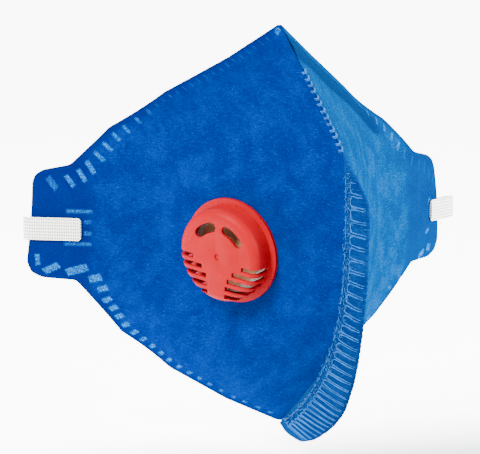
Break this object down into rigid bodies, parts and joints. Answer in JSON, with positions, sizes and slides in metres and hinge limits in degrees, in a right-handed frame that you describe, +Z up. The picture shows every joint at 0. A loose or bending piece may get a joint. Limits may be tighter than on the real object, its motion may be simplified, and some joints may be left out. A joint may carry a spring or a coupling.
{
  "type": "respirator",
  "caption": "Fold-flat filtering respirator: two webbed half-panels sewn at an overlocked front seam, side exhalation valve, ear tabs and an elastic headband.",
  "frame": {"origin": "middle of the face seal, midway between the two tabs at the height of the headband", "axes": "+Y towards the wearer's face, +Z up to the nose, +X to the wearer's left; the valve is on the -X half"},
  "size_m": [0.1632, 0.1353, 0.1427],
  "materials": {
    "outer_web": "needled nonwoven, royal blue, mottled fibres, welded marks along the edges",
    "inner_web": "white nonwoven web",
    "lining_web": "soft pale nonwoven lining",
    "seam_edge": "pressed plies of the blue web",
    "thread": "textured polyester thread",
    "clip_metal": "soft rolled strip",
    "valve_plastic": "moulded coral red, satin",
    "seat_plastic": "moulded tan",
    "flap_rubber": "soft tan elastomer",
    "elastic": "knitted white elastic"
  },
  "bodies": {
    "left_half": {"cover_left": "outer_web", "support_left": "inner_web", "filter_left": "inner_web", "lining_left": "lining_web", "front_seam": "seam_edge", "ridge_seam": "seam_edge", "needle_thread": "thread", "upper_looper_thread": "thread", "lower_looper_thread": "thread", "ridge_thread": "thread", "nose_clip": "clip_metal", "valve_seat": "seat_plastic", "flap_retainer": "seat_plastic", "valve_cover": "valve_plastic", "band_end_left": "elastic", "headband": "elastic"},
    "right_half": {"cover_right": "outer_web", "support_right": "inner_web", "filter_right": "inner_web", "lining_right": "lining_web", "band_end_right": "elastic"},
    "valve_flap": {"valve_flap": "flap_rubber"}
  },
  "joints": [
    {"name": "front_fold", "type": "hinge", "parent": "left_half", "child": "right_half", "pos_m": [0, -0.06, 0], "axis": [0, 0, 1], "range_deg": [0, 60], "deforming": ["cover_right", "support_right", "filter_right", "lining_right", "nose_clip", "headband"]},
    {"name": "flap_open", "type": "hinge", "parent": "left_half", "child": "valve_flap", "pos_m": [-0.02545, -0.05395, 0.00536], "axis": [-0.5617, 0.8095, 0.171], "range_deg": [0, 10], "stiffness_Nm_per_rad": 0.0005}
  ]
}
